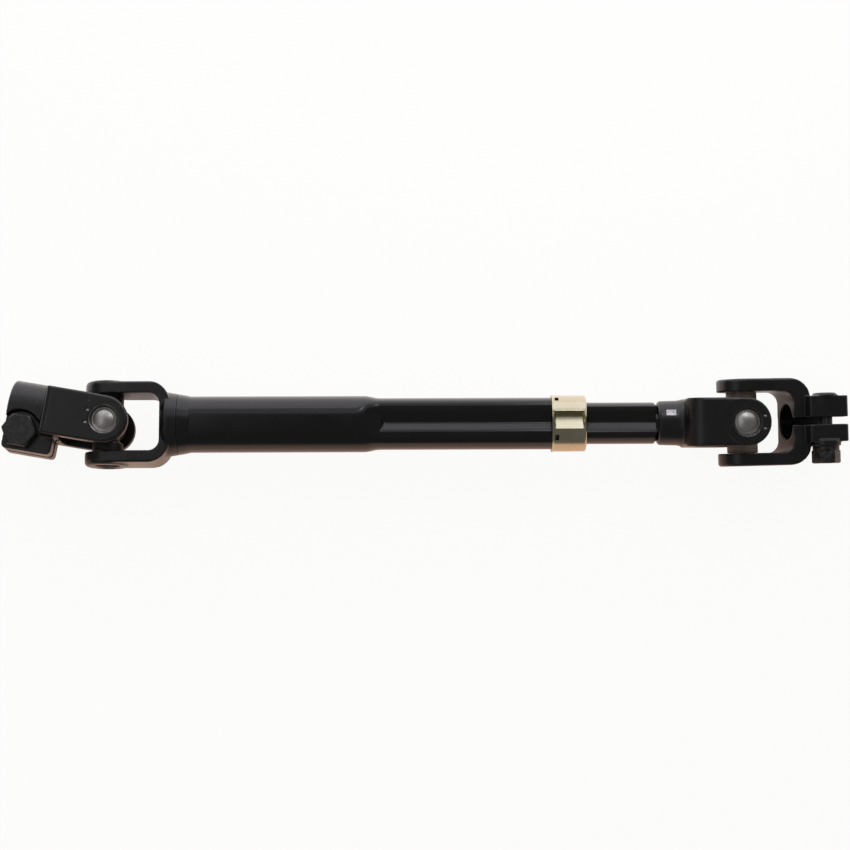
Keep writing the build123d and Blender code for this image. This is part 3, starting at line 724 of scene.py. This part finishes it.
clipSizes = {
    "Start": 250.0 * mm, "Length": 19.4 * mm, "Radius": 15.85 * mm, "Sheet": 1.1 * mm,
    "Flare": 0.45 * mm, "Flare Length": 1.3 * mm, "End Round": 1.5 * mm,
    "Mouth Radius": 12.0 * mm, "Mouth Flat": 8.7 * mm, "Pocket Height": 12.5 * mm, "Pocket Slope": 0.446,
    "Pocket Bow": 15.7, "Pocket Start": 0.9 * mm, "Pocket End": 18.3 * mm, "Pocket Run": 1.3 * mm,
    "Wall Angle": 17.6, "Wall Spread": 1.6, "Blend": 0.9 * mm,
}
clipCounts = {"Along": 96, "Around": 360}
clipStations = {
    "wall": 0.46, "roundedEnd": 0.56, "endFace": 0.64, "mouth": 0.67, "insideFace": 0.75, "lining": 0.98,
    "close": 1.0,
}
clipWindows = {
    "start": 1.6 * mm, "length": 2.2 * mm, "height": 3.4 * mm, "cutDepth": 4 * mm, "angles": (52.0, -38.0),
}


def buildClipTree():
    tree, calc, sizes, ends = treeShell("endClip", clipSizes, clipCounts)
    grid, share, angle = startGrid(tree, calc, sizes["Along"], sizes["Around"])
    # Out along the outside, round the end, in to the mouth, back along the inside and closed at the start
    way = splitProfile(calc, share, clipStations)
    turn = calc("MULTIPLY", way["roundedEnd"], math.pi / 2)
    straight = calc("MULTIPLY", calc("SUBTRACT", sizes["Length"], sizes["End Round"]), way["wall"])
    inner = calc("SUBTRACT", sizes["Length"], sizes["Sheet"])
    x = calc("ADD", straight, calc("MULTIPLY", sizes["End Round"], calc("SINE", turn)))
    x = calc("SUBTRACT", x, calc("MULTIPLY", sizes["Sheet"], way["mouth"]))
    x = calc("SUBTRACT", x, calc("MULTIPLY", inner, way["lining"]))
    # The pocket repeats on the far side. Its floor is a bowed line in the section, solved for its reach
    up = calc("ABSOLUTE", calc("SINE", angle))
    side = calc("MULTIPLY", calc("COSINE", angle), calc("SIGN", calc("SINE", angle)))
    lean = calc("ADD", up, calc("MULTIPLY", sizes["Pocket Slope"], side))
    bow = calc("MULTIPLY", calc("MULTIPLY", sizes["Pocket Bow"], sizes["Pocket Height"]),
               calc("MULTIPLY", 4.0, calc("MULTIPLY", side, side)))
    root = calc("SQRT", calc("MAXIMUM", calc("SUBTRACT", calc("MULTIPLY", lean, lean), bow), leastRoot))
    facing = calc("MAXIMUM", calc("ADD", lean, root), leastFacing)
    floor = calc("DIVIDE", calc("MULTIPLY", sizes["Pocket Height"], 2.0), facing)
    pressed = calc("SMOOTH_MIN", sizes["Radius"], floor, sizes["Blend"])
    away = calc("MULTIPLY", calc("ARCTAN2", side, up), 180 / math.pi)
    wall = easeBetween(
        tree, away, calc("SUBTRACT", sizes["Wall Angle"], sizes["Wall Spread"]),
        calc("ADD", sizes["Wall Angle"], sizes["Wall Spread"]), 1.0, 0.0)
    firstRun = calc("ADD", sizes["Pocket Start"], sizes["Pocket Run"])
    lastRun = calc("SUBTRACT", sizes["Pocket End"], sizes["Pocket Run"])
    ramp = calc("MULTIPLY", easeBetween(tree, x, sizes["Pocket Start"], firstRun, 0.0, 1.0),
                easeBetween(tree, x, lastRun, sizes["Pocket End"], 1.0, 0.0))
    depth = calc("MULTIPLY", calc("SUBTRACT", sizes["Radius"], pressed), calc("MULTIPLY", wall, ramp))
    flare = calc("MULTIPLY", sizes["Flare"], easeBetween(tree, x, 0.0, sizes["Flare Length"], 1.0, 0.0))
    shell = calc("ADD", calc("SUBTRACT", sizes["Radius"], depth), flare)
    flatMouth = calc("DIVIDE", sizes["Mouth Flat"], calc("MAXIMUM", up, leastUp["mouth"]))
    mouth = calc("SMOOTH_MIN", sizes["Mouth Radius"], flatMouth, sizes["Blend"])
    drop = calc("MULTIPLY", sizes["End Round"], calc("SUBTRACT", 1.0, calc("COSINE", turn)))
    rounded = calc("SUBTRACT", shell, drop)
    reach = calc("ADD", rounded, calc("MULTIPLY", way["endFace"], calc("SUBTRACT", mouth, rounded)))
    lining = calc("SUBTRACT", shell, sizes["Sheet"])
    reach = calc("ADD", reach, calc("MULTIPLY", way["insideFace"], calc("SUBTRACT", lining, reach)))
    reach = calc("ADD", reach, calc("MULTIPLY", way["close"], sizes["Sheet"]))
    bendGrid(tree, calc, grid, calc("ADD", x, sizes["Start"]), reach, angle, "XYZ", sizes, ends)
    return tree


def cutWindows(piece):
    # Windows near the sleeve's open end, one on each side of each pocket
    for degrees in clipWindows["angles"]:
        shape = bmesh.new()
        bmesh.ops.create_cube(shape, size=1.0)
        cutter = bpy.data.meshes.new("clipCutter")
        shape.to_mesh(cutter)
        shape.free()
        block = Matrix.Diagonal((clipWindows["length"], clipWindows["height"], clipWindows["cutDepth"], 1.0))
        middle = clipSizes["Start"] + clipWindows["start"] + clipWindows["length"] / 2
        cutter.transform(Matrix.Translation((middle, 0, clipSizes["Radius"])) @ block)
        cutter.transform(turnAbout("X", -degrees))
        for half in range(2):
            tool = newObject("clipCutter", cutter)
            cut = piece.modifiers.new("window", "BOOLEAN")
            cut.object = tool
            cut.operation = "DIFFERENCE"
            cut.solver = "EXACT"
            bakeModifiers(piece)
            bpy.data.objects.remove(tool)
            cutter.transform(turnAbout("X", 180))


clipValues = {**clipSizes, **clipCounts, "Material": yellowZinc}
clipPiece = applyTree("tube_end_clip_drawn", buildClipTree(), clipValues)
turnOutwards(clipPiece)
cutWindows(clipPiece)
clipPiece.data.transform(tubePlace)
finishPiece(clipPiece, yellowZinc, "outer_tube", "yellow_zinc", "tube_end_clip", sharp=50)
print("stage: clip", len(clipPiece.data.polygons))


# Bearing cups and the chamfered rims of their holes, each a turned profile, the same in all eight ears

capSizes = {
    "Radius": 7.48 * mm, "Dome Edge": 6.2 * mm, "Dome Sphere": 10.5 * mm, "Edge Drop": 0.9 * mm,
    "Length": 9.2 * mm, "Wall": 1.2 * mm, "Floor": 3.6 * mm,
}
capCounts = {"Steps": 60, "Sides": 72}
capStations = {"dome": 0.35, "edge": 0.5, "wall": 0.6, "mouth": 0.65, "inside": 0.8, "floor": 1.0}
rimSizes = {"Hole": 7.5 * mm, "Flare": 0.8 * mm, "Seat": 0.03 * mm, "Depth": 2.6 * mm}
rimCounts = {"Steps": 20, "Sides": 72}
rimStations = {"cone": 0.4, "bore": 0.6, "back": 0.8, "outside": 1.0}


def buildCapTree():
    # Domed end, rounded edge, outer wall, mouth, inner wall and inner floor
    tree, calc, sizes, ends = treeShell("bearingCap", capSizes, capCounts)
    grid, share, angle = startGrid(tree, calc, sizes["Steps"], sizes["Sides"])
    way = splitProfile(calc, share, capStations)
    dome = calc("MULTIPLY", sizes["Dome Edge"], way["dome"])
    sphereSquare = calc("MULTIPLY", sizes["Dome Sphere"], sizes["Dome Sphere"])
    depth = calc("SQRT", calc("SUBTRACT", sphereSquare, calc("MULTIPLY", dome, dome)))
    sag = calc("SUBTRACT", sizes["Dome Sphere"], depth)
    bend = calc("MULTIPLY", way["edge"], math.pi / 2)
    out = calc("MULTIPLY", calc("SUBTRACT", sizes["Radius"], sizes["Dome Edge"]), calc("SINE", bend))
    drop = calc("MULTIPLY", sizes["Edge Drop"], calc("SUBTRACT", 1.0, calc("COSINE", bend)))
    wall = calc("MULTIPLY", sizes["Length"], way["wall"])
    mouth = calc("MULTIPLY", sizes["Wall"], way["mouth"])
    back = calc("MULTIPLY", calc("SUBTRACT", sizes["Length"], sizes["Floor"]), way["inside"])
    inner = calc("MULTIPLY", calc("SUBTRACT", sizes["Radius"], sizes["Wall"]), way["floor"])
    radius = calc("SUBTRACT", calc("SUBTRACT", calc("ADD", dome, out), mouth), inner)
    height = calc("SUBTRACT", back, calc("ADD", calc("ADD", sag, drop), wall))
    bendGrid(tree, calc, grid, height, radius, angle, "YXZ", sizes, ends)
    return tree


def buildRimTree():
    # A thin bare cone at the hole's mouth, closed behind
    tree, calc, sizes, ends = treeShell("holeRim", rimSizes, rimCounts)
    grid, share, angle = startGrid(tree, calc, sizes["Steps"], sizes["Sides"])
    way = splitProfile(calc, share, rimStations)
    cone = calc("MULTIPLY", sizes["Flare"], way["cone"])
    bore = calc("MULTIPLY", sizes["Depth"], way["bore"])
    out = calc("MULTIPLY", sizes["Flare"], way["back"])
    up = calc("MULTIPLY", calc("ADD", sizes["Depth"], sizes["Flare"]), way["outside"])
    radius = calc("ADD", calc("SUBTRACT", calc("ADD", sizes["Hole"], sizes["Flare"]), cone), out)
    height = calc("ADD", calc("SUBTRACT", calc("SUBTRACT", sizes["Seat"], cone), bore), up)
    bendGrid(tree, calc, grid, height, radius, angle, "YXZ", sizes, ends)
    return tree


capTree = buildCapTree()
rimTree = buildRimTree()

# Distances from the joint's centre: holeFace is the ear's face round its hole, and the cup sits capSeat
# inside of cupLine
ears = {
    "fork": {
        "yoke": "tube_fork", "body": "outer_tube", "holeFace": 23.9 * mm, "cupLine": 23.0 * mm,
        "rubber": sealDark, "sealSlot": "seal_dark"},
    "gear_clamp": {
        "yoke": "gear_clamp_yoke", "body": "gear_clamp", "holeFace": 23.0 * mm, "cupLine": 23.0 * mm,
        "rubber": sealDark, "sealSlot": "seal_dark"},
    "shaft_yoke": {
        "yoke": "shaft_yoke", "body": "slide_shaft", "holeFace": 24.15 * mm, "cupLine": 24.5 * mm,
        "rubber": sealTan, "sealSlot": "seal_tan"},
    "column_clamp": {
        "yoke": "column_clamp_yoke", "body": "column_clamp", "holeFace": 24.5 * mm, "cupLine": 24.5 * mm,
        "rubber": sealTan, "sealSlot": "seal_tan"},
}
capSeat = 0.45 * mm
sealBevel = 0.25 * mm


def turnedPiece(name, tree, values, material, place):
    piece = applyTree(name, tree, {**values, "Material": material})
    piece.data.transform(place)
    return turnOutwards(piece)


def addCupAndRim(ear, letter, row):
    flip = Matrix.Identity(4) if letter == "a" else turnAbout("X", 180)
    place = forgingPlaces[row["yoke"]] @ flip
    seat = place @ Matrix.Translation((0, row["cupLine"] - capSeat, 0))
    cup = turnedPiece(f"{ear}_cap_{letter}", capTree, {**capSizes, **capCounts}, cupSteel, seat)
    finishPiece(cup, cupSteel, row["body"], "bearing_cup", f"{ear}_cup_{letter}", sharp=50)
    mouth = place @ Matrix.Translation((0, row["holeFace"], 0))
    rim = turnedPiece(f"{ear}_rim_{letter}", rimTree, {**rimSizes, **rimCounts}, rimSteel, mouth)
    finishPiece(rim, rimSteel, row["body"], "bearing_cup", sharp=25)


def addSealAndRollers(ear, letter, row):
    dressNode(f"{ear}_seal_{letter}", row["body"], row["rubber"], row["sealSlot"], sealBevel)
    rollers = frame["nodes"][f"{ear}_rollers_{letter}"]
    rollers.data.materials.clear()
    rollers.data.materials.append(rollerSteel)


for ear, row in ears.items():
    for letter in "ab":
        addCupAndRim(ear, letter, row)
        addSealAndRollers(ear, letter, row)
print("stage: small pieces dressed")


# Floor, light and camera

# Painted light: back, front, far and their colours set how the floor glows in reflections, standing in for the
# light that falls on the table
floorLook = {
    "half": 3.0, "seen": 0.935, "seenColor": (1.0, 0.997, 0.99, 1),
    "back": 1.35, "backColor": (1.0, 0.95, 0.95, 1), "backEnd": 0.035,
    "front": 0.95, "frontColor": (1.0, 0.68, 0.55, 1), "frontEnd": -0.015,
    "far": 0.45, "farEnd": -0.7, "farStart": -0.15,
    # These three values paint a shadow: the floor's glow in reflections is dimmed close beside the object
    "between": 0.5, "betweenStart": 0.008, "betweenEnd": 0.024,
    "bounce": (0.9, 0.89, 0.88, 1), "shade": (0.13, 0.128, 0.125, 1),
}


def makeFloor():
    # A white table, almost shadowless to the camera. In reflections it glows with painted light: bright behind,
    # warm and dim in front, and darker close beside the object as a painted shadow
    half = floorLook["half"]
    corners = [(-half, -half, 0), (half, -half, 0), (half, half, 0), (-half, half, 0)]
    mesh = bpy.data.meshes.new("floor")
    mesh.from_pydata(corners, [], [(0, 1, 2, 3)])
    floor = newObject("floor", mesh)
    material = bpy.data.materials.new("paleFloor")
    material.use_nodes = True
    tree = material.node_tree
    tree.nodes.clear()
    out = tree.nodes.new("ShaderNodeOutputMaterial")
    path = tree.nodes.new("ShaderNodeLightPath")
    camera = path.outputs["Is Camera Ray"]
    glossy = path.outputs["Is Glossy Ray"]
    split = tree.nodes.new("ShaderNodeSeparateXYZ")
    link(tree, tree.nodes.new("ShaderNodeTexCoord").outputs["Object"], split.inputs[0])
    across = split.outputs["Y"]
    side = addRange(tree, across, floorLook["frontEnd"], floorLook["backEnd"])
    fade = addRange(
        tree, across, floorLook["farEnd"], floorLook["farStart"], floorLook["far"], floorLook["front"])
    # Painted shadow: the glow seen in reflections dims close beside the object
    between = addRange(
        tree, addMath(tree, "ABSOLUTE", across), floorLook["betweenStart"], floorLook["betweenEnd"],
        floorLook["between"], 1.0)
    # Painted light: the floor's glow strength in reflections, bright behind, warm and dim in front
    paintedReflectionGlow = addMath(tree, "MULTIPLY", between, addRange(tree, side, 0.0, 1.0, fade, floorLook["back"]))
    # Painted reflection: the floor's glow is tinted warm in front and pale behind
    tint = addMix(tree, side, floorLook["frontColor"], floorLook["backColor"])
    diffuse = tree.nodes.new("ShaderNodeBsdfDiffuse")
    direct = addMath(tree, "MAXIMUM", camera, glossy)
    link(tree, addMix(tree, direct, floorLook["bounce"], floorLook["shade"]), diffuse.inputs["Color"])
    glow = tree.nodes.new("ShaderNodeEmission")
    link(tree, addMix(tree, camera, tint, floorLook["seenColor"]), glow.inputs["Color"])
    seen = addMath(tree, "MULTIPLY", camera, floorLook["seen"])
    strength = addMath(tree, "ADD", seen, addMath(tree, "MULTIPLY", glossy, paintedReflectionGlow))
    link(tree, strength, glow.inputs["Strength"])
    join = tree.nodes.new("ShaderNodeAddShader")
    link(tree, diffuse.outputs[0], join.inputs[0])
    link(tree, glow.outputs[0], join.inputs[1])
    link(tree, join.outputs[0], out.inputs["Surface"])
    mesh.materials.append(material)


worldLook = {"color": (1, 0.99, 0.98, 1), "lit": 0.16, "seen": 1.0}
panels = {
    "lowWall": {
        "place": (0.0, 1.5, 0.40), "aim": (0.0, 0.0, 0.40), "size": (3.0, 0.8), "power": 10.5,
        "color": (0.95, 0.95, 1.06)},
    "highWall": {
        "place": (0.1, 1.11, 1.0), "aim": (0.0, 0.0, 0.05), "size": (3.0, 0.85), "power": 4.6,
        "color": (0.96, 0.97, 1.05)},
    "leftCeiling": {
        "place": (-0.62, 0.05, 1.10), "aim": (-0.2, 0.0, 0.0), "size": (1.3, 0.6), "power": 1.1,
        "color": (1.0, 0.97, 1.0)},
    "spot": {
        "place": (0.15, 0.34, 0.36), "aim": (0.0, 0.0, 0.02), "size": (0.14, 0.10), "power": 0.12,
        "color": (1.0, 1.0, 1.0)},
}


def makeWorld():
    world = bpy.data.worlds.new("studio")
    bpy.context.scene.world = world
    world.use_nodes = True
    tree = world.node_tree
    back = tree.nodes["Background"]
    back.inputs["Color"].default_value = worldLook["color"]
    path = tree.nodes.new("ShaderNodeLightPath")
    strength = addRange(tree, path.outputs["Is Camera Ray"], 0.0, 1.0, worldLook["lit"], worldLook["seen"])
    link(tree, strength, back.inputs["Strength"])


def addPanel(name, panel):
    light = bpy.data.lights.new(name, "AREA")
    light.shape = "RECTANGLE"
    light.size, light.size_y = panel["size"]
    light.energy = panel["power"]
    light.color = panel["color"]
    obj = bpy.data.objects.new(name, light)
    bpy.context.scene.collection.objects.link(obj)
    obj.location = panel["place"]
    obj.rotation_euler = (Vector(panel["aim"]) - Vector(panel["place"])).to_track_quat("-Z", "Y").to_euler()


# The camera looks down on a point that is given from the gear end's joint centre
cameraSizes = {
    "reach": 1.243, "tilt": 1.5, "roll": 0.19, "frameWidth": 0.480,
    "aimAlong": 0.17884, "aimAcross": -0.00062, "sensor": 36.0, "clipStart": 0.05,
}


def makeCamera():
    camera = bpy.data.cameras.new("view")
    camera.sensor_width = cameraSizes["sensor"]
    camera.angle = 2 * math.atan(cameraSizes["frameWidth"] / 2 / cameraSizes["reach"])
    camera.clip_start = cameraSizes["clipStart"]
    obj = bpy.data.objects.new("view", camera)
    bpy.context.scene.collection.objects.link(obj)
    aim = gearCentre + Vector((cameraSizes["aimAlong"], cameraSizes["aimAcross"], 0))
    turn = turnAbout("X", cameraSizes["tilt"]) @ turnAbout("Z", -cameraSizes["roll"])
    back = turn.to_3x3() @ Vector((0, 0, cameraSizes["reach"]))
    obj.matrix_world = Matrix.Translation(aim + back) @ turn
    bpy.context.scene.camera = obj


makeFloor()
makeWorld()
for name, panel in panels.items():
    addPanel(name, panel)
makeCamera()

scene = bpy.context.scene
scene.view_settings.view_transform = "Standard"

print("stage: scene complete")
